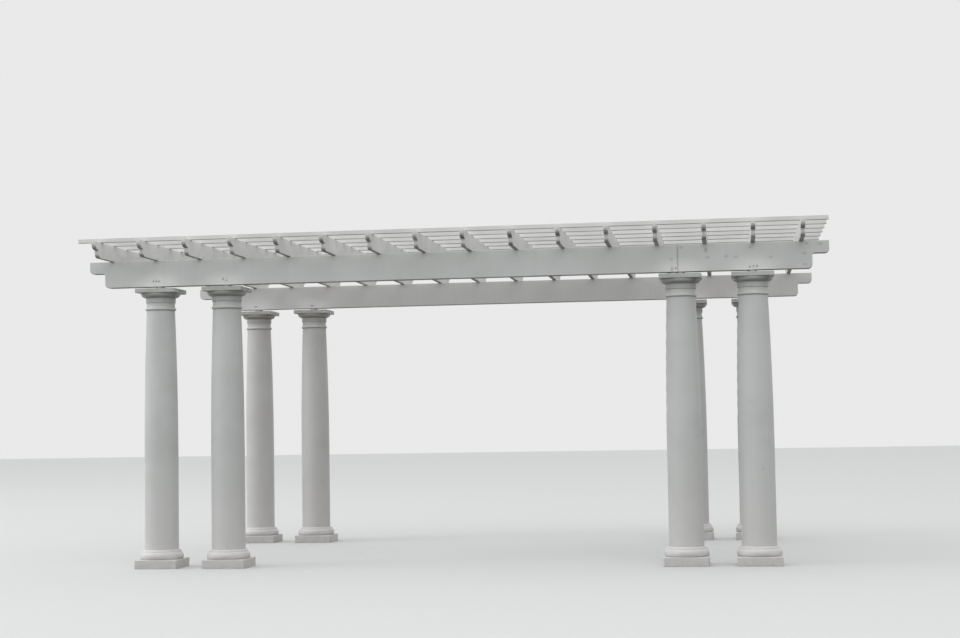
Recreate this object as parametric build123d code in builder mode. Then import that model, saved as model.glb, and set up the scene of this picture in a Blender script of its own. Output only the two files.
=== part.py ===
from build123d import *
import os

# Garden pergola: four pairs of round columns carry two doubled beams, sixteen rafters and thirteen purlins.
# Millimetres, +Z up. The origin is on the ground at the middle of the plan, and the beams run along X.

# Plan, and the height of the columns up to the beams
bay_width = 4010
pair_spacing = 610
row_distance = 3250
column_height = 2490

# Column base: square plinth with softened edges, torus widest below its middle, and quarter-round ring
plinth_width = 382
plinth_height = 77
plinth_corner = 10
plinth_edge = 5
torus_height = 64
torus_projection = 20.5
torus_belly = 26
torus_foot = 13
ring_projection = 22
ring_height = 21
ring_ledge = 4

# Column shaft: a shell, straight at its foot and then narrowing in a long arc to its head
shaft_radius = 148
shaft_narrowing = 23.5
shaft_wall = 13
shaft_head_plate = 22
straight_height = 1000
sliding_fit = 0.3

# Bead and neck at the head of the shaft
bead_height = 20
bead_projection = 12
bead_ledge = 4
conge_height = 19
conge_depth = 7
neck_height = 29
cap_seat = 3

# Cap: collar, echinus and abacus, and a narrow bearing that holds the beam clear of the abacus
collar_height = 46
collar_projection = 6.5
echinus_step = 3
echinus_radius = 40
abacus_height = 37
abacus_projection = 5
abacus_corner = 3
abacus_edge = 2
bearing_gap = 22
bearing_radius = 38

# Eased long edges of all timber
arris = 3

# Doubled beams with stepped and rounded ends, and the butt joint in the front face ply
beam_ply = 44.5
beam_height = 235
beam_overhang = 645
beam_step_depth = 142
beam_step_height = 129
beam_nose_radius = 34
beam_cove_radius = 20
beam_heel_radius = 36
butt_gap = 1.5
butt_shift = 19

# Rafters on edge across both beams, with their end distances from the beam ends
rafter_thickness = 38
rafter_height = 140
rafter_overhang = 508
rafter_count = 16
rafter_left_distance = 209
rafter_right_distance = 232
rafter_step_depth = 77
rafter_step_height = 68
rafter_nose_radius = 58
rafter_cove_radius = 8
rafter_heel_radius = 46

# Purlins along the top, a little shorter than the beams, and the outer ones in from the rafter tips
purlin_width = 38
purlin_height = 38
purlin_end_distance = 16
purlin_tip_distance = 163
purlin_count = 13

# Heights of the column, each from the one below or above it
torus_top = plinth_height + torus_height
base_top = torus_top + ring_height
abacus_top = column_height - bearing_gap
abacus_bottom = abacus_top - abacus_height
echinus_bottom = abacus_bottom - echinus_radius
cap_bottom = echinus_bottom - collar_height
neck_bottom = cap_bottom - neck_height
bead_top = neck_bottom - conge_height
shaft_top = bead_top - bead_height

# Radii of the column
ring_radius = shaft_radius + ring_projection
shaft_head_radius = shaft_radius - shaft_narrowing
spigot_radius = shaft_head_radius - cap_seat
collar_radius = shaft_head_radius + collar_projection
echinus_foot = collar_radius + echinus_step
abacus_width = 2 * (echinus_foot + echinus_radius + abacus_projection)

# Heights and places of the timber
rafter_bottom = column_height + beam_height
purlin_bottom = rafter_bottom + rafter_height
inner_column_x = bay_width / 2
outer_column_x = inner_column_x + pair_spacing
column_places = {
    "left_outer": -outer_column_x,
    "left_inner": -inner_column_x,
    "right_inner": inner_column_x,
    "right_outer": outer_column_x,
}
front_row_y = -row_distance / 2
back_row_y = row_distance / 2
beam_half_length = outer_column_x + beam_overhang
rafter_half_length = row_distance / 2 + rafter_overhang
butt_x = inner_column_x - butt_shift
first_rafter_x = rafter_left_distance - beam_half_length
last_rafter_x = beam_half_length - rafter_right_distance
rafter_spacing = (last_rafter_x - first_rafter_x) / (rafter_count - 1)
outer_purlin_y = rafter_half_length - purlin_tip_distance
purlin_spacing = 2 * outer_purlin_y / (purlin_count - 1)
purlin_length = 2 * (beam_half_length - purlin_end_distance)


def level(x, y, z):
    """A level plane with its origin on a column's axis."""
    return Plane((x, y, z))


def upright(x, y):
    """An upright plane through a column's axis, seen from the front."""
    return Plane((x, y, 0), x_dir=(1, 0, 0), z_dir=(0, -1, 0))


def column_base(x, y):
    """Plinth with a torus and a quarter-round ring above it, and a hole that the shaft stands in."""
    torus_start = (ring_radius + torus_foot, plinth_height)
    torus_middle = (ring_radius + torus_projection, plinth_height + torus_belly)
    ring_end = (shaft_radius + ring_ledge, base_top)
    with BuildPart() as base:
        with BuildSketch(level(x, y, 0)):
            RectangleRounded(plinth_width, plinth_width, plinth_corner)
        extrude(amount=plinth_height)
        fillet(base.faces().sort_by(Axis.Z)[-1].edges(), plinth_edge)
        with BuildSketch(upright(x, y)):
            with BuildLine():
                Line((0, plinth_height), torus_start)
                ThreePointArc(torus_start, torus_middle, (ring_radius, torus_top))
                TangentArc((ring_radius, torus_top), ring_end, tangent=(0, 1))
                Polyline(ring_end, (0, base_top), (0, plinth_height))
            make_face()
        revolve(axis=Axis((x, y, 0), (0, 0, 1)))
        with BuildSketch(level(x, y, 0)):
            Circle(shaft_radius + sliding_fit)
        extrude(amount=base_top, mode=Mode.SUBTRACT)
    return base


def column_shaft(x, y):
    """Round shell from the ground to the abacus, with a bead, a neck and a head plate that bears the beam."""
    inside_foot = shaft_radius - shaft_wall
    inside_head = shaft_head_radius - shaft_wall
    inside_top = abacus_top - shaft_head_plate
    bead_foot = (shaft_head_radius + bead_ledge, shaft_top)
    bead_middle = (shaft_head_radius + bead_projection, shaft_top + bead_height / 2)
    conge_foot = (shaft_head_radius + conge_depth, bead_top)
    with BuildPart() as shaft:
        with BuildSketch(upright(x, y)):
            with BuildLine():
                Line((shaft_radius, 0), (shaft_radius, straight_height))
                TangentArc(
                    (shaft_radius, straight_height),
                    (shaft_head_radius, shaft_top),
                    tangent=(0, 1),
                )
                Line((shaft_head_radius, shaft_top), bead_foot)
                ThreePointArc(bead_foot, bead_middle, conge_foot)
                TangentArc((shaft_head_radius, neck_bottom), conge_foot, tangent=(0, -1))
                Polyline(
                    (shaft_head_radius, neck_bottom),
                    (shaft_head_radius, cap_bottom),
                    (spigot_radius, cap_bottom),
                    (spigot_radius, abacus_top),
                    (bearing_radius, abacus_top),
                    (bearing_radius, column_height),
                    (0, column_height),
                    (0, inside_top),
                    (inside_head, inside_top),
                    (inside_head, shaft_top),
                )
                TangentArc(
                    (inside_foot, straight_height),
                    (inside_head, shaft_top),
                    tangent=(0, 1),
                )
                Polyline((inside_foot, straight_height), (inside_foot, 0), (shaft_radius, 0))
            make_face()
        revolve(axis=Axis((x, y, 0), (0, 0, 1)))
    return shaft


def column_cap(x, y):
    """Collar, quarter-round echinus and square abacus, seated on the neck around the shaft's spigot."""
    with BuildPart() as cap:
        with BuildSketch(level(x, y, abacus_bottom)):
            RectangleRounded(abacus_width, abacus_width, abacus_corner)
        extrude(amount=abacus_height)
        chamfer(cap.faces().filter_by(Axis.Z).edges(), abacus_edge)
        with BuildSketch(upright(x, y)):
            with BuildLine():
                Polyline(
                    (0, abacus_bottom),
                    (0, cap_bottom),
                    (collar_radius, cap_bottom),
                    (collar_radius, echinus_bottom),
                    (echinus_foot, echinus_bottom),
                )
                TangentArc(
                    (echinus_foot, echinus_bottom),
                    (echinus_foot + echinus_radius, abacus_bottom),
                    tangent=(1, 0),
                )
                Line((echinus_foot + echinus_radius, abacus_bottom), (0, abacus_bottom))
            make_face()
        revolve(axis=Axis((x, y, 0), (0, 0, 1)))
        with BuildSketch(level(x, y, cap_bottom)):
            Circle(spigot_radius + sliding_fit)
        extrude(amount=abacus_top - cap_bottom, mode=Mode.SUBTRACT)
    return cap


def stepped_board(side, thickness, half_length, height, step, nose_radius, cove_radius, heel_radius):
    """Board on edge about its side plane, with stepped, rounded ends on the underside and eased edges."""
    step_depth, step_height = step
    heel = (half_length - step_depth, 0)
    cove = (half_length - step_depth, step_height)
    nose = (half_length, step_height)
    with BuildPart() as board:
        with BuildSketch(side) as outline:
            with BuildLine():
                Polyline((0, 0), heel, cove, nose, (half_length, height), (0, height), close=True)
            make_face()
            for corner, radius in ((heel, heel_radius), (cove, cove_radius), (nose, nose_radius)):
                fillet(outline.vertices().sort_by_distance((*corner, 0))[0], radius)
            mirror(about=Plane.YZ)
        extrude(amount=thickness / 2, both=True)
        chamfer(board.faces().sort_by(SortBy.AREA)[-2:].edges(), arris)
    return board


def beam_board(y):
    """One ply of a beam, from end to end."""
    side = Plane((0, y, column_height), x_dir=(1, 0, 0), z_dir=(0, -1, 0))
    return stepped_board(
        side,
        beam_ply,
        beam_half_length,
        beam_height,
        (beam_step_depth, beam_step_height),
        beam_nose_radius,
        beam_cove_radius,
        beam_heel_radius,
    )


def rafter_board(x):
    """One rafter across both beams."""
    side = Plane((x, 0, rafter_bottom), x_dir=(0, 1, 0), z_dir=(1, 0, 0))
    return stepped_board(
        side,
        rafter_thickness,
        rafter_half_length,
        rafter_height,
        (rafter_step_depth, rafter_step_height),
        rafter_nose_radius,
        rafter_cove_radius,
        rafter_heel_radius,
    )


def save(piece, name):
    piece.part.label = name
    export_step(piece.part, f"parts/{name}.step")


os.makedirs("parts", exist_ok=True)

# Columns
for row, row_y in (("front", front_row_y), ("back", back_row_y)):
    for place, column_x in column_places.items():
        save(column_base(column_x, row_y), f"{row}_{place}_base")
        save(column_shaft(column_x, row_y), f"{row}_{place}_shaft")
        save(column_cap(column_x, row_y), f"{row}_{place}_cap")

# Front beam: its face ply is in two lengths that meet over the cap of the inner right column
uncut_ply = beam_board(front_row_y - beam_ply / 2)
with BuildPart() as front_face_ply:
    add(uncut_ply.part)
    with BuildSketch(level(butt_x, front_row_y, column_height)):
        Rectangle(butt_gap, 2 * beam_ply)
    extrude(amount=beam_height, mode=Mode.SUBTRACT)
save(front_face_ply, "front_beam_outer_ply")
save(beam_board(front_row_y + beam_ply / 2), "front_beam_inner_ply")

# Back beam
save(beam_board(back_row_y - beam_ply / 2), "back_beam_inner_ply")
save(beam_board(back_row_y + beam_ply / 2), "back_beam_outer_ply")

# Rafters
for number in range(rafter_count):
    save(rafter_board(first_rafter_x + number * rafter_spacing), f"rafter_{number + 1:02d}")

# Purlins
with BuildPart() as purlins:
    with BuildSketch(Plane.XY.offset(purlin_bottom)):
        with GridLocations(0, purlin_spacing, 1, purlin_count):
            Rectangle(purlin_length, purlin_width)
    extrude(amount=purlin_height)
    chamfer(purlins.edges().filter_by(Axis.X), arris)
save(purlins, "purlins")
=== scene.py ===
import math
import random
from collections import namedtuple

import bpy
from mathutils import Matrix, Vector


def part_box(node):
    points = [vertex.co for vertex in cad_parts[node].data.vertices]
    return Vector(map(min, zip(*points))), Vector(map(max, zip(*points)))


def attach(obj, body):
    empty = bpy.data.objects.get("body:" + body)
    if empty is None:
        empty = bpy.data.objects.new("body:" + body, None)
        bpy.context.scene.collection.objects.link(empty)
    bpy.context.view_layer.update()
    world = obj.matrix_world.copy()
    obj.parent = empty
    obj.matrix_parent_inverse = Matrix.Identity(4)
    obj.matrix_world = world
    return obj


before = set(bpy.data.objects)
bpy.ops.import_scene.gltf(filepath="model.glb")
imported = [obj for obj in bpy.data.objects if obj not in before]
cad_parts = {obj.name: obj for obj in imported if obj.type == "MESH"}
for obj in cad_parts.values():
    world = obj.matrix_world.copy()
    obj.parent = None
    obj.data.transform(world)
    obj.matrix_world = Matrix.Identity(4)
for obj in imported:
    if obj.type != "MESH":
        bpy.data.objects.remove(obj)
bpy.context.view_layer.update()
random.seed(7)

# The photograph's view: where its camera stood, and how it was turned
CAMERA_PLACE = Vector((2.410, -16.458, 1.212))
CAMERA_YAW = math.radians(8.2275)
CAMERA_PITCH = math.radians(3.5155)
CAMERA_ROLL = math.radians(-0.9346)
LENS_MM = 64.757
SENSOR_MM = 36.0
FARTHEST_SEEN = 200.0

# Light: the sky's strength at the horizon and overhead, its shares from the left and the right,
# and two large lamps that stand in for brighter parts of it
SKY_COLOR = (0.96, 0.98, 1.0, 1.0)
SKY_HORIZON = 0.77
SKY_ZENITH = 1.25
SKY_LEFT = 1.20
SKY_RIGHT = 0.70
LEFT_LAMP = {
    "place": (-28.0, -4.5, 16.0), "aim": (0.0, 0.0, 1.5),
    "size": 16.0, "watts": 2450.0, "color": (1.0, 1.0, 1.0),
}
RIGHT_LAMP = {
    "place": (6.0, -15.0, 17.0), "aim": (0.0, 0.0, 2.0),
    "size": 20.0, "watts": 700.0, "color": (1.0, 0.99, 0.97),
}

# Stage: a pale floor that throws back no more light than paving and grass do, and a white backdrop.
# The camera sees FLOOR_PALE, and bounced light gets FLOOR_BOUNCE.
FLOOR_HALF_WIDTH = 60.0
FLOOR_PALE = (0.63, 0.63, 0.62, 1.0)
FLOOR_BOUNCE = (0.15, 0.15, 0.14, 1.0)
FLOOR_ROUGHNESS = 0.9
BACKDROP_WHITE = (1.0, 1.0, 1.0, 1.0)
BACKDROP_STRENGTH = 0.82

# Nodes by what they are
BASES = sorted(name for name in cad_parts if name.endswith("_base"))
SHAFTS = sorted(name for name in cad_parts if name.endswith("_shaft"))
CAPS = sorted(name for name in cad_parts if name.endswith("_cap"))
PLIES = sorted(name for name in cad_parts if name.endswith("_ply"))
RAFTERS = sorted(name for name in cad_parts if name.startswith("rafter_"))

# Places on the frame that the fasteners and marks are set out from
FRONT_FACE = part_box("front_beam_outer_ply")[0][1]
BACK_BEAM_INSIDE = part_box("back_beam_inner_ply")[0][1]
BEAM_BOTTOM, BEAM_TOP = (corner[2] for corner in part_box("front_beam_inner_ply"))
PURLIN_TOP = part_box("purlins")[1][2]
PURLIN_WIDTH = 0.038
PURLIN_COUNT = 13

# Ways that a face looks
LEFT = (-1, 0, 0)
RIGHT = (1, 0, 0)
FORWARD = (0, -1, 0)
UP = (0, 0, 1)

# Paints, linear. Each is new in the front row, worn there, new in the back row and worn there.
# The front row has a faint green film and a painted green cast of light from the lawn; the back row is
# warmer with painted warm light bounced from brick.
SHAFT_PAINTS = (
    (0.638, 0.651, 0.634, 1.0), (0.588, 0.599, 0.581, 1.0),
    (0.674, 0.664, 0.652, 1.0), (0.620, 0.607, 0.594, 1.0),
)
BEAM_PAINTS = (
    (0.705, 0.720, 0.701, 1.0), (0.650, 0.662, 0.643, 1.0),
    (0.752, 0.740, 0.727, 1.0), (0.694, 0.680, 0.666, 1.0),
)
CAP_PAINTS = (
    (0.560, 0.578, 0.553, 1.0), (0.475, 0.490, 0.462, 1.0),
    (0.590, 0.576, 0.560, 1.0), (0.505, 0.488, 0.470, 1.0),
)
# The roof timbers' paint is lighter than the beams' and columns'. That is partly a whiter paint, and
# partly painted light: the sky they catch from above.
ROOF_PAINTS_AND_SKYLIGHT = ((0.805, 0.802, 0.782, 1.0), (0.725, 0.719, 0.698, 1.0)) * 2
# The plinths' pink tint is partly their own paint and partly painted light reflected from the red paving.
PLINTH_PAINT = (0.692, 0.672, 0.661, 1.0)
PLINTH_PAINTS = (PLINTH_PAINT, (0.662, 0.640, 0.628, 1.0)) * 2
TOUCH_UP_PAINT = (0.850, 0.843, 0.828, 1.0)
OLD_PAINT_ON_METAL = (0.588, 0.599, 0.581, 1.0)

# Dirt, painted shade and metal, linear. The grime is real dirt at fasteners, knocks, flakes and splashes,
# and also painted shade in corners and under the columns' ledges. The brown film is real stain on the
# caps, and also painted shade under the boards.
GRIME_AND_SHADE = (0.115, 0.105, 0.085, 1.0)
BROWN_FILM_AND_SHADE = (0.120, 0.095, 0.070, 1.0)
OLIVE_FILM = (0.235, 0.235, 0.160, 1.0)
PAVING_DUST = (0.300, 0.170, 0.125, 1.0)
RUST = (0.130, 0.070, 0.040, 1.0)
ZINC = (0.330, 0.320, 0.300, 1.0)

# A noise pattern: its scale, one number or one for each axis, its detail,
# and the values of the noise where a patch starts and where it is full
Pattern = namedtuple("Pattern", "scale detail start full")
BOARD_BLOTCHES = Pattern(1.7, 4.0, 0.35, 0.72)
BOARD_STREAKS = Pattern((17.0, 17.0, 1.4), 3.0, 0.52, 0.72)
MARK_EDGES = Pattern(45.0, 4.0, 0.35, 0.65)
CORNER_PATCHES = Pattern(9.0, 4.0, 0.3, 0.7)
UNDERSIDE_PATCHES = Pattern(5.0, 4.0, 0.3, 0.7)
COLUMN_BLOTCHES = Pattern(2.6, 4.0, 0.35, 0.75)
COLUMN_RUNS = Pattern((26.0, 26.0, 0.9), 4.0, 0.52, 0.75)
STAIN_RUNS = COLUMN_RUNS._replace(start=0.35, full=0.60)
DUST_PATCHES = Pattern(14.0, 3.0, 0.35, 0.65)
SPLASHES = Pattern(22.0, 3.0, 0.45, 0.70)
FILM_PATCHES = Pattern(6.0, 5.0, 0.50, 0.72)
FLAKES = Pattern(210.0, 2.0, 0.50, 0.56)
FLAKE_EDGES = FLAKES._replace(start=0.44, full=0.40)
RUST_SPOTS = Pattern(260.0, 3.0, 0.42, 0.60)
PAINTED_SPOTS = Pattern(37.0, 2.0, 0.45, 0.55)

# Wood grain: its scale across and along a board, and where it starts and is full in colour
GRAIN_ACROSS = 140.0
GRAIN_ALONG = 2.2
GRAIN_DETAIL = 5.0
GRAIN_ROUGHNESS = 0.6
GRAIN_START = 0.58
GRAIN_FULL = 0.75

# Fine relief for the bump: scale and detail of its noise
PAINT_RELIEF = (240.0, 3.0)
METAL_RELIEF = (900.0, 2.0)

# How strong each kind of wear, dirt and painted shade is
GRAIN_WEAR = 0.22
STREAK_WEAR = 0.35
RUN_WEAR = 0.25
BOARD_CORNER_SHADE_AND_DIRT = 0.6
COLUMN_CORNER_SHADE_AND_DIRT = 0.8
BASE_CORNER_SHADE_AND_DIRT = 0.35
BEAM_UNDERSIDE_DIRT_AND_SHADE = 0.9
RAFTER_UNDERSIDE_DIRT_AND_SHADE = 0.85
PURLIN_UNDERSIDE_DIRT_AND_SHADE = 0.35
COLUMN_UNDERSIDE_DIRT_AND_SHADE = 0.5
SHAFT_FILM = 0.03
CAP_FILM = 0.30
BASE_FILM = 0.02

# Where dirt gathers and shade is painted in corners and under faces: how near a wall it starts, how shut
# in a place is, how far down a face looks, and its share where it is faintest
CORNER_REACH = 0.03
CORNER_SAMPLES = 8
CORNER_SHUT = 0.35
CORNER_OPEN = 0.85
CORNER_FAINTEST = 0.35
LOOKING_LEVEL = -0.2
LOOKING_DOWN = -0.9
UNDERSIDE_FAINTEST = 0.6

# From the front row to the back row the paint and its painted light change over this distance each side
# of the middle
ROW_CHANGE = 1.2

# The foot of a column: painted warm light reflected from the paving, paving dust and rain splashes, each
# fading out upwards
PAVING_LIGHT_START, PAVING_LIGHT_END, PAVING_LIGHT_SHARE = 0.15, 1.10, 0.80
DUST_END, DUST_SHARE = 0.09, 0.12
SPLASH_START, SPLASH_END, SPLASH_SHARE = 0.02, 0.40, 0.07

# A surface: its smoothest and roughest patches, and the depth in metres and strength of its bump.
# It is smoothest where its noise is under SMOOTH_BELOW and roughest where that is over ROUGH_ABOVE.
Skin = namedtuple("Skin", "smooth rough depth strength")
TIMBER_SKIN = Skin(0.52, 0.68, 0.0012, 0.25)
COLUMN_SKIN = Skin(0.42, 0.56, 0.0006, 0.12)
METAL_SKIN = Skin(0.45, 0.85, 0.0002, 0.3)
SMOOTH_BELOW = 0.3
ROUGH_ABOVE = 0.8
SPECULAR_LEVEL = 0.35

# Screws through the front beam into the column heads, along X and Z on the front face
COLUMN_SCREWS = [
    (-2.667, 2.539), (-2.640, 2.538), (-2.616, 2.537),
    (-2.026, 2.543), (-1.995, 2.529),
    (1.966, 2.520),
    (2.595, 2.515), (2.624, 2.518), (2.654, 2.521),
]
INSIDE_SCREWS = [(-2.636, 2.522), (-2.018, 2.519)]

# Nails in the short face board at the right end of the front beam, and two with a rust run below
FACE_NAILS = [
    (1.930, 2.602), (2.015, 2.699), (2.239, 2.608), (2.394, 2.612), (2.478, 2.606), (2.602, 2.684),
    (2.770, 2.597), (3.052, 2.619), (3.056, 2.526), (3.073, 2.701), (3.187, 2.695),
]
RUSTY_NAILS = [(2.228, 2.690), (1.936, 2.530)]
BUTT_JOINT_X = 1.986

# A mark on the paint: how far it reaches along X, Y and Z, how strong it is, and its colour.
# It is strongest in the inner share of its reach that FULL_WITHIN gives.
Mark = namedtuple("Mark", "reach share stain")
FULL_WITHIN = 0.15
TOUCH_UP = Mark((0.30, 0.03, 0.12), 0.85, TOUCH_UP_PAINT)
TOUCH_UP_RISE = 0.03
SCREW_SMUDGE = Mark((0.016, 0.004, 0.018), 0.40, GRIME_AND_SHADE)
SCREW_SMUDGE_RISE = 0.002
INSIDE_RUST = Mark((0.034, 0.004, 0.014), 0.5, RUST)
NAIL_SMUDGE = Mark((0.032, 0.004, 0.019), 0.26, GRIME_AND_SHADE)
RUST_RUN = Mark((0.018, 0.004, 0.040), 0.45, RUST)
RUST_RUN_DROP = 0.018
JOINT_STAIN = Mark((0.014, 0.03, 0.30), 0.30, RUST)
FAINTEST_MARK = 0.6

# Knocks in the shafts, stains on the front caps, and abacus corners where the paint flakes
SHAFT_KNOCKS = [(2.119, -1.719, 1.086), (2.662, -1.765, 0.811)]
KNOCK = Mark((0.007, 0.007, 0.009), 0.6, GRIME_AND_SHADE)
CAP_STAINS = [
    (-2.476, -1.682, 2.415), (-1.835, -1.765, 2.452), (2.111, -1.731, 2.412),
    (2.494, -1.713, 2.414), (2.726, -1.727, 2.410),
]
CAP_STAIN_REACH = (0.055, 0.055, 0.028)
CAP_STAIN_FAINT, CAP_STAIN_STRONG = 0.25, 0.6
FLAKED_CORNERS = ["front_left_outer_cap", "front_right_inner_cap", "back_left_inner_cap"]
FLAKED_REACH = (0.055, 0.06, 0.032)
FLAKED_INWARDS, FLAKED_DOWN = 0.02, 0.012

# Fasteners: profiles of the heads as radius and height, and how the nails and screws scatter
HEAD_SIDES = 12
NAIL_PROFILE = [(0.0045, -0.0008), (0.0045, 0.0004), (0.0038, 0.0009), (0.0012, 0.0010)]
SCREW_PROFILE = [
    (0.0052, -0.0006), (0.0052, 0.0006), (0.0040, 0.0017), (0.0022, 0.0020), (0.0019, -0.0004),
]
NAIL_OFFSET = 0.024
NAIL_SCATTER = 0.005
NAIL_LOWEST, NAIL_HIGHEST = 0.017, 0.029
SCREW_SCATTER_X, SCREW_SCATTER_Y = 0.006, 0.004
FACE_NAIL_PAINTED = 0.85


class Graph:
    """A material's node tree, with short calls for the nodes that the finishes share."""

    def __init__(self, name):
        self.material = bpy.data.materials.new(name)
        self.material.use_nodes = True
        self.tree = self.material.node_tree
        self.tree.nodes.clear()

    def node(self, kind, inputs=(), **settings):
        """Adds a node. Each input is a number, a colour or another node's output."""
        made = self.tree.nodes.new(kind)
        for name, value in settings.items():
            setattr(made, name, value)
        for name, value in dict(inputs).items():
            self.feed(made.inputs[name], value)
        return made

    def feed(self, socket, value):
        """Links another node's output to a socket, or sets the socket to a value."""
        if isinstance(value, bpy.types.NodeSocket):
            self.tree.links.new(value, socket)
        else:
            socket.default_value = value

    def place(self):
        """The point's own coordinates in the object's frame, in metres."""
        return self.node("ShaderNodeTexCoord").outputs["Object"]

    def part(self, vector, axis):
        """One axis of a vector."""
        return self.node("ShaderNodeSeparateXYZ", {"Vector": vector}).outputs[axis]

    def noise(self, place, scale, detail, roughness=0.5):
        """Noise at a scale. Three scales, one for each axis, make it run along a board or down a face."""
        if not isinstance(scale, float):
            stretched = self.node("ShaderNodeMapping", {"Vector": place, "Scale": scale})
            place, scale = stretched.outputs["Vector"], 1.0
        inputs = {"Vector": place, "Scale": scale, "Detail": detail, "Roughness": roughness}
        return self.node("ShaderNodeTexNoise", inputs).outputs["Fac"]

    def between(self, value, low, high, to_low=0.0, to_high=1.0):
        """Maps low..high to to_low..to_high and holds the ends."""
        inputs = {"Value": value, "From Min": low, "From Max": high, "To Min": to_low, "To Max": to_high}
        return self.node("ShaderNodeMapRange", inputs, interpolation_type="SMOOTHSTEP").outputs["Result"]

    def patches(self, place, pattern, outside=0.0, inside=1.0):
        """A pattern's patches: outside where there is none, and inside in the middle of one."""
        noise = self.noise(place, pattern.scale, pattern.detail)
        return self.between(noise, pattern.start, pattern.full, outside, inside)

    def times(self, first, second):
        """The product, held between 0 and 1."""
        made = self.node("ShaderNodeMath", operation="MULTIPLY", use_clamp=True)
        self.feed(made.inputs[0], first)
        self.feed(made.inputs[1], second)
        return made.outputs["Value"]

    def mixed(self, share, first, second):
        """first where share is 0 and second where it is 1."""
        made = self.node("ShaderNodeMix", data_type="RGBA")
        self.feed(made.inputs[0], share)
        self.feed(made.inputs[6], first)
        self.feed(made.inputs[7], second)
        return made.outputs[2]

    def near(self, place, centre, reach):
        """1 close to a centre, fading to 0 at the reach, which differs by axis."""
        scale = [1.0 / distance for distance in reach]
        shift = [-middle * factor for middle, factor in zip(centre, scale)]
        local = self.node("ShaderNodeMapping", {"Vector": place, "Location": shift, "Scale": scale})
        away = self.node("ShaderNodeVectorMath", {"Vector": local.outputs["Vector"]}, operation="LENGTH")
        return self.between(away.outputs["Value"], FULL_WITHIN, 1.0, 1.0, 0.0)

    def finish(self, color, roughness, height, skin):
        """Ends the material with its shader, whose bump follows a height."""
        bump_inputs = {"Height": height, "Strength": skin.strength, "Distance": skin.depth}
        bump = self.node("ShaderNodeBump", bump_inputs)
        inputs = {"Base Color": color, "Roughness": roughness, "Normal": bump.outputs["Normal"]}
        shader = self.node("ShaderNodeBsdfPrincipled", inputs | {"Specular IOR Level": SPECULAR_LEVEL})
        self.node("ShaderNodeOutputMaterial", {"Surface": shader.outputs["BSDF"]})
        return self.material


def row_paint_and_light(g, place, front, back):
    """One colour in the front row and another in the back row, and between them a slow change. The
    difference is painted light, green from the lawn in front and warm from brick at the back, with a
    faint real green film in front.
    """
    return g.mixed(g.between(g.part(place, "Y"), -ROW_CHANGE, ROW_CHANGE), front, back)


def corner_shade_and_dirt(g, place, most):
    """Dirt and painted shade in corners and under ledges, where ambient occlusion finds them, broken up
    by noise.
    """
    # Painted shade: ambient occlusion darkens corners and creases toward the grime colour, together with
    # real dirt.
    occlusion = g.node("ShaderNodeAmbientOcclusion", {"Distance": CORNER_REACH}, samples=CORNER_SAMPLES)
    corner = g.between(occlusion.outputs["AO"], CORNER_SHUT, CORNER_OPEN, 1.0, 0.0)
    return g.times(g.times(corner, g.patches(place, CORNER_PATCHES, CORNER_FAINTEST, 1.0)), most)


def underside_dirt_and_shade(g, place, most):
    """Faces that look down are never rained on, so they keep a film of dirt; they are also painted darker
    as shade.
    """
    normal = g.node("ShaderNodeNewGeometry").outputs["Normal"]
    down = g.between(g.part(normal, "Z"), LOOKING_LEVEL, LOOKING_DOWN)
    return g.times(down, g.patches(place, UNDERSIDE_PATCHES, UNDERSIDE_FAINTEST * most, most))


def painted_timber(name, along, paints, underside, marks=()):
    """White paint over sawn boards: grain along them, blotches, rain streaks, marks, and dirt with
    painted shade under them and in their corners.
    """
    g = Graph(name)
    place = g.place()
    grain_scale = [GRAIN_ACROSS, GRAIN_ACROSS, GRAIN_ACROSS]
    grain_scale["XYZ".index(along)] = GRAIN_ALONG
    grain = g.noise(place, grain_scale, GRAIN_DETAIL, GRAIN_ROUGHNESS)
    fresh, worn, fresh_back, worn_back = paints
    worn = row_paint_and_light(g, place, worn, worn_back)
    color = g.mixed(g.patches(place, BOARD_BLOTCHES), row_paint_and_light(g, place, fresh, fresh_back), worn)
    color = g.mixed(g.between(grain, GRAIN_START, GRAIN_FULL, 0.0, GRAIN_WEAR), color, worn)
    color = g.mixed(g.patches(place, BOARD_STREAKS, 0.0, STREAK_WEAR), color, worn)
    uneven = g.patches(place, MARK_EDGES, FAINTEST_MARK, 1.0)
    for centre, mark in marks:
        spot = g.times(g.times(g.near(place, centre, mark.reach), uneven), mark.share)
        color = g.mixed(spot, color, mark.stain)
    # Painted shade: faces that look down are darkened toward the brown film, together with real dirt.
    color = g.mixed(underside_dirt_and_shade(g, place, underside), color, BROWN_FILM_AND_SHADE)
    # Painted shade and dirt in the board's corners and creases
    color = g.mixed(corner_shade_and_dirt(g, place, BOARD_CORNER_SHADE_AND_DIRT), color, GRIME_AND_SHADE)
    roughness = g.between(grain, SMOOTH_BELOW, ROUGH_ABOVE, TIMBER_SKIN.smooth, TIMBER_SKIN.rough)
    return g.finish(color, roughness, grain, TIMBER_SKIN)


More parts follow.
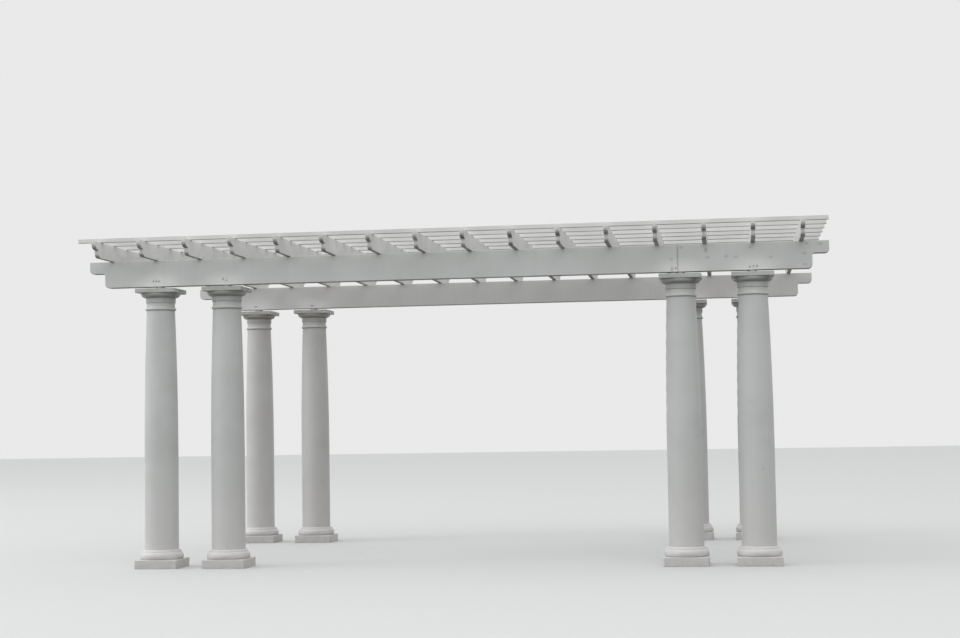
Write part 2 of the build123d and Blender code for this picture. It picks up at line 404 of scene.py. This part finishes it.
def beam_marks():
    """Touched-up paint over the column heads, smudges at fasteners and the butt joint, and rust runs."""
    marks = []
    for cap in CAPS:
        low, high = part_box(cap)
        face = FRONT_FACE if cap.startswith("front") else BACK_BEAM_INSIDE
        marks.append((((low[0] + high[0]) / 2, face, BEAM_BOTTOM + TOUCH_UP_RISE), TOUCH_UP))
    for x, z in COLUMN_SCREWS:
        marks.append(((x, FRONT_FACE, z + SCREW_SMUDGE_RISE), SCREW_SMUDGE))
    for x, z in INSIDE_SCREWS:
        marks.append(((x, BACK_BEAM_INSIDE, z), INSIDE_RUST))
    for x, z in FACE_NAILS:
        marks.append(((x, FRONT_FACE, z), NAIL_SMUDGE))
    for x, z in RUSTY_NAILS:
        marks.append(((x, FRONT_FACE, z - RUST_RUN_DROP), RUST_RUN))
    marks.append(((BUTT_JOINT_X, FRONT_FACE, (BEAM_BOTTOM + BEAM_TOP) / 2), JOINT_STAIN))
    return marks


def foot_of_column(g, place, color):
    """Towards the ground the colour warms with painted light reflected from the paving, and paving dust
    and rain splashes lie on it.
    """
    height = g.part(place, "Z")
    # Painted light: warm light reflected from the red paving, strongest low down and fading out upwards
    color = g.mixed(g.between(height, PAVING_LIGHT_START, PAVING_LIGHT_END, PAVING_LIGHT_SHARE, 0.0), color, PLINTH_PAINT)
    dust = g.times(g.between(height, 0.0, DUST_END, DUST_SHARE, 0.0), g.patches(place, DUST_PATCHES))
    color = g.mixed(dust, color, PAVING_DUST)
    low = g.between(height, SPLASH_START, SPLASH_END, SPLASH_SHARE, 0.0)
    return g.mixed(g.times(low, g.patches(place, SPLASHES)), color, GRIME_AND_SHADE)


def flaked_corners(g, place, color):
    """On some abacus corners the paint flakes, with a dark edge round each flake."""
    flakes = g.noise(place, FLAKES.scale, FLAKES.detail)
    for cap in FLAKED_CORNERS:
        low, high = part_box(cap)
        corner = (high[0] - FLAKED_INWARDS, low[1], high[2] - FLAKED_DOWN)
        near = g.near(place, corner, FLAKED_REACH)
        for pattern, stain in ((FLAKES, TOUCH_UP_PAINT), (FLAKE_EDGES, GRIME_AND_SHADE)):
            flaked = g.between(flakes, pattern.start, pattern.full)
            color = g.mixed(g.times(near, flaked), color, stain)
    return color


def painted_column(name, paints, film, corners):
    """White paint over a moulded column: faint runs, a dusty foot warmed with painted light from the
    paving, a film, knocks, flakes, and dirt with painted shade under ledges and in corners.
    """
    g = Graph(name)
    place = g.place()
    runs = g.noise(place, COLUMN_RUNS.scale, COLUMN_RUNS.detail)
    blotch = g.noise(place, COLUMN_BLOTCHES.scale, COLUMN_BLOTCHES.detail)
    fresh, worn, fresh_back, worn_back = paints
    worn = row_paint_and_light(g, place, worn, worn_back)
    blotches = g.between(blotch, COLUMN_BLOTCHES.start, COLUMN_BLOTCHES.full)
    color = g.mixed(blotches, row_paint_and_light(g, place, fresh, fresh_back), worn)
    color = g.mixed(g.between(runs, COLUMN_RUNS.start, COLUMN_RUNS.full, 0.0, RUN_WEAR), color, worn)
    color = foot_of_column(g, place, color)
    color = g.mixed(g.patches(place, FILM_PATCHES, 0.0, film), color, OLIVE_FILM)
    stain_share = g.between(runs, STAIN_RUNS.start, STAIN_RUNS.full, CAP_STAIN_FAINT, CAP_STAIN_STRONG)
    for stain in CAP_STAINS:
        color = g.mixed(g.times(g.near(place, stain, CAP_STAIN_REACH), stain_share), color, BROWN_FILM_AND_SHADE)
    for knock in SHAFT_KNOCKS:
        color = g.mixed(g.times(g.near(place, knock, KNOCK.reach), KNOCK.share), color, KNOCK.stain)
    color = flaked_corners(g, place, color)
    # Painted shade: faces that look down are darkened toward the grime, together with real dirt.
    color = g.mixed(underside_dirt_and_shade(g, place, COLUMN_UNDERSIDE_DIRT_AND_SHADE), color, GRIME_AND_SHADE)
    # Painted shade and dirt in the column's corners and creases
    color = g.mixed(corner_shade_and_dirt(g, place, corners), color, GRIME_AND_SHADE)
    roughness = g.between(blotch, SMOOTH_BELOW, ROUGH_ABOVE, COLUMN_SKIN.smooth, COLUMN_SKIN.rough)
    return g.finish(color, roughness, g.noise(place, *PAINT_RELIEF), COLUMN_SKIN)


def weathered_metal(name, painted):
    """Zinc-plated heads, rusting, and painted over in part or nearly all."""
    g = Graph(name)
    place = g.place()
    rust = g.patches(place, RUST_SPOTS, 0.0, 1.0 - painted)
    clean = g.mixed(g.patches(place, PAINTED_SPOTS, painted, 1.0), ZINC, OLD_PAINT_ON_METAL)
    roughness = g.between(rust, 0.0, 1.0, METAL_SKIN.smooth, METAL_SKIN.rough)
    return g.finish(g.mixed(rust, clean, RUST), roughness, g.noise(place, *METAL_RELIEF), METAL_SKIN)


def dress(names, material):
    """Gives CAD nodes a finish. Their shapes stay as they are."""
    for name in names:
        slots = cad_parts[name].data.materials
        slots.clear()
        slots.append(material)


dress(PLIES, painted_timber("beam_paint", "X", BEAM_PAINTS, BEAM_UNDERSIDE_DIRT_AND_SHADE, beam_marks()))
dress(RAFTERS, painted_timber("rafter_paint", "Y", ROOF_PAINTS_AND_SKYLIGHT, RAFTER_UNDERSIDE_DIRT_AND_SHADE))
dress(["purlins"], painted_timber("purlin_paint", "X", ROOF_PAINTS_AND_SKYLIGHT, PURLIN_UNDERSIDE_DIRT_AND_SHADE))
dress(SHAFTS, painted_column("column_paint", SHAFT_PAINTS, SHAFT_FILM, COLUMN_CORNER_SHADE_AND_DIRT))
dress(CAPS, painted_column("cap_paint", CAP_PAINTS, CAP_FILM, COLUMN_CORNER_SHADE_AND_DIRT))
dress(BASES, painted_column("plinth_paint", PLINTH_PAINTS, BASE_FILM, BASE_CORNER_SHADE_AND_DIRT))


# Fasteners
def turned_head(profile):
    """Points and faces of a head turned about its own axis from a profile of radius and height."""
    points = []
    faces = []
    for radius, height in profile:
        for side in range(HEAD_SIDES):
            angle = 2 * math.pi * side / HEAD_SIDES
            points.append(Vector((radius * math.cos(angle), radius * math.sin(angle), height)))
    for ring in range(len(profile) - 1):
        for side in range(HEAD_SIDES):
            after = (side + 1) % HEAD_SIDES
            low, high = ring * HEAD_SIDES, (ring + 1) * HEAD_SIDES
            faces.append((low + side, low + after, high + after, high + side))
    faces.append(tuple(range((len(profile) - 1) * HEAD_SIDES, len(profile) * HEAD_SIDES)))
    return points, faces


def fasteners(name, profile, places, material):
    """One piece of many heads. Each place is a point on a face and the way that the face looks."""
    head_points, head_faces = turned_head(profile)
    points = []
    faces = []
    for place, outwards in places:
        turn = Vector(UP).rotation_difference(Vector(outwards)).to_matrix()
        start = len(points)
        points += [Vector(place) + turn @ point for point in head_points]
        faces += [tuple(start + corner for corner in face) for face in head_faces]
    mesh = bpy.data.meshes.new(name)
    mesh.from_pydata(points, [], faces)
    mesh.materials.append(material)
    for polygon in mesh.polygons:
        polygon.use_smooth = True
    made = bpy.data.objects.new(name, mesh)
    bpy.context.scene.collection.objects.link(made)
    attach(made, "root")


def on_face(y, places):
    """Places given along X and Z, on a beam's face that looks to the front."""
    return [((x, y, z), FORWARD) for x, z in places]


def rafter_nail_places():
    """Two skew nails in each side of each rafter, into each beam below it."""
    places = []
    for rafter in RAFTERS:
        low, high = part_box(rafter)
        for beam in ("front_beam", "back_beam"):
            middle = (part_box(f"{beam}_inner_ply")[0][1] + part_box(f"{beam}_outer_ply")[1][1]) / 2
            for side_x, outwards in ((low[0], LEFT), (high[0], RIGHT)):
                for offset in (-NAIL_OFFSET, NAIL_OFFSET):
                    y = middle + offset + random.uniform(-NAIL_SCATTER, NAIL_SCATTER)
                    z = BEAM_TOP + random.uniform(NAIL_LOWEST, NAIL_HIGHEST)
                    places.append(((side_x, y, z), outwards))
    return places


def purlin_screw_places():
    """A screw down through each purlin where it crosses a rafter."""
    low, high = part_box("purlins")
    first_y = low[1] + PURLIN_WIDTH / 2
    spacing = (high[1] - low[1] - PURLIN_WIDTH) / (PURLIN_COUNT - 1)
    places = []
    for rafter in RAFTERS:
        rafter_low, rafter_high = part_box(rafter)
        middle = (rafter_low[0] + rafter_high[0]) / 2
        for row in range(PURLIN_COUNT):
            x = middle + random.uniform(-SCREW_SCATTER_X, SCREW_SCATTER_X)
            y = first_y + row * spacing + random.uniform(-SCREW_SCATTER_Y, SCREW_SCATTER_Y)
            places.append(((x, y, PURLIN_TOP), UP))
    return places


METAL = weathered_metal("fixings", 0.0)
PAINTED_METAL = weathered_metal("painted_fixings", FACE_NAIL_PAINTED)
beam_screws = on_face(FRONT_FACE, COLUMN_SCREWS) + on_face(BACK_BEAM_INSIDE, INSIDE_SCREWS)
face_nails = on_face(FRONT_FACE, FACE_NAILS + RUSTY_NAILS)
fasteners("beam_screws", SCREW_PROFILE, beam_screws, METAL)
fasteners("face_nails", NAIL_PROFILE, face_nails, PAINTED_METAL)
fasteners("rafter_nails", NAIL_PROFILE, rafter_nail_places(), METAL)
fasteners("purlin_screws", SCREW_PROFILE, purlin_screw_places(), METAL)


# Stage
def seen(tree):
    """1 for what the camera sees, straight or by way of gloss or glass, and 0 for light that bounces."""
    path = tree.nodes.new("ShaderNodeLightPath")
    share = path.outputs["Is Camera Ray"]
    for ray in ("Is Glossy Ray", "Is Transmission Ray"):
        most = tree.nodes.new("ShaderNodeMath")
        most.operation = "MAXIMUM"
        tree.links.new(share, most.inputs[0])
        tree.links.new(path.outputs[ray], most.inputs[1])
        share = most.outputs["Value"]
    return share


def floor():
    """A pale floor that throws back little light."""
    g = Graph("floor_pale")
    color = g.mixed(seen(g.tree), FLOOR_BOUNCE, FLOOR_PALE)
    shader = g.node("ShaderNodeBsdfPrincipled", {"Base Color": color, "Roughness": FLOOR_ROUGHNESS})
    g.node("ShaderNodeOutputMaterial", {"Surface": shader.outputs["BSDF"]})
    mesh = bpy.data.meshes.new("floor")
    low, high = -FLOOR_HALF_WIDTH, FLOOR_HALF_WIDTH
    corners = [(low, low, 0), (high, low, 0), (high, high, 0), (low, high, 0)]
    mesh.from_pydata(corners, [], [(0, 1, 2, 3)])
    mesh.materials.append(g.material)
    made = bpy.data.objects.new("floor", mesh)
    bpy.context.scene.collection.objects.link(made)


def sky():
    """Soft light from all round, brighter overhead and on the left, with a white background."""
    world = bpy.data.worlds.new("studio")
    bpy.context.scene.world = world
    world.use_nodes = True
    tree = world.node_tree
    tree.nodes.clear()
    toward = tree.nodes.new("ShaderNodeTexCoord")
    parts = tree.nodes.new("ShaderNodeSeparateXYZ")
    upwards = tree.nodes.new("ShaderNodeMapRange")
    upwards.inputs["To Min"].default_value = SKY_HORIZON
    upwards.inputs["To Max"].default_value = SKY_ZENITH
    sideways = tree.nodes.new("ShaderNodeMapRange")
    sideways.inputs["From Min"].default_value = -1.0
    sideways.inputs["To Min"].default_value = SKY_LEFT
    sideways.inputs["To Max"].default_value = SKY_RIGHT
    strength = tree.nodes.new("ShaderNodeMath")
    strength.operation = "MULTIPLY"
    light = tree.nodes.new("ShaderNodeBackground")
    light.inputs["Color"].default_value = SKY_COLOR
    backdrop = tree.nodes.new("ShaderNodeBackground")
    backdrop.inputs["Color"].default_value = BACKDROP_WHITE
    backdrop.inputs["Strength"].default_value = BACKDROP_STRENGTH
    either = tree.nodes.new("ShaderNodeMixShader")
    output = tree.nodes.new("ShaderNodeOutputWorld")
    tree.links.new(toward.outputs["Generated"], parts.inputs["Vector"])
    tree.links.new(parts.outputs["Z"], upwards.inputs["Value"])
    tree.links.new(parts.outputs["X"], sideways.inputs["Value"])
    tree.links.new(upwards.outputs["Result"], strength.inputs[0])
    tree.links.new(sideways.outputs["Result"], strength.inputs[1])
    tree.links.new(strength.outputs["Value"], light.inputs["Strength"])
    tree.links.new(seen(tree), either.inputs["Fac"])
    tree.links.new(light.outputs["Background"], either.inputs[1])
    tree.links.new(backdrop.outputs["Background"], either.inputs[2])
    tree.links.new(either.outputs["Shader"], output.inputs["Surface"])


def soft_lamp(name, place, aim, size, watts, color):
    """A large square lamp, aimed at a point."""
    lamp = bpy.data.lights.new(name, "AREA")
    lamp.shape = "SQUARE"
    lamp.size = size
    lamp.energy = watts
    lamp.color = color
    made = bpy.data.objects.new(name, lamp)
    made.location = place
    made.rotation_euler = (Vector(aim) - Vector(place)).to_track_quat("-Z", "Y").to_euler()
    bpy.context.scene.collection.objects.link(made)


def camera():
    """Stands where the photograph's camera stood and looks the same way."""
    ahead = Vector((-math.sin(CAMERA_YAW), math.cos(CAMERA_YAW), 0.0))
    right = Vector((math.cos(CAMERA_YAW), math.sin(CAMERA_YAW), 0.0))
    up = Vector(UP)
    forward = ahead * math.cos(CAMERA_PITCH) + up * math.sin(CAMERA_PITCH)
    level_top = up * math.cos(CAMERA_PITCH) - ahead * math.sin(CAMERA_PITCH)
    side = right * math.cos(CAMERA_ROLL) + level_top * math.sin(CAMERA_ROLL)
    top = level_top * math.cos(CAMERA_ROLL) - right * math.sin(CAMERA_ROLL)
    data = bpy.data.cameras.new("camera")
    data.lens = LENS_MM
    data.sensor_width = SENSOR_MM
    data.sensor_fit = "HORIZONTAL"
    data.clip_end = FARTHEST_SEEN
    made = bpy.data.objects.new("camera", data)
    turn = Matrix((side, top, -forward)).transposed().to_4x4()
    made.matrix_world = Matrix.Translation(CAMERA_PLACE) @ turn
    bpy.context.scene.collection.objects.link(made)
    bpy.context.scene.camera = made


floor()
sky()
soft_lamp("left_sky", **LEFT_LAMP)
soft_lamp("right_sky", **RIGHT_LAMP)
camera()
bpy.context.scene.view_settings.view_transform = "Standard"
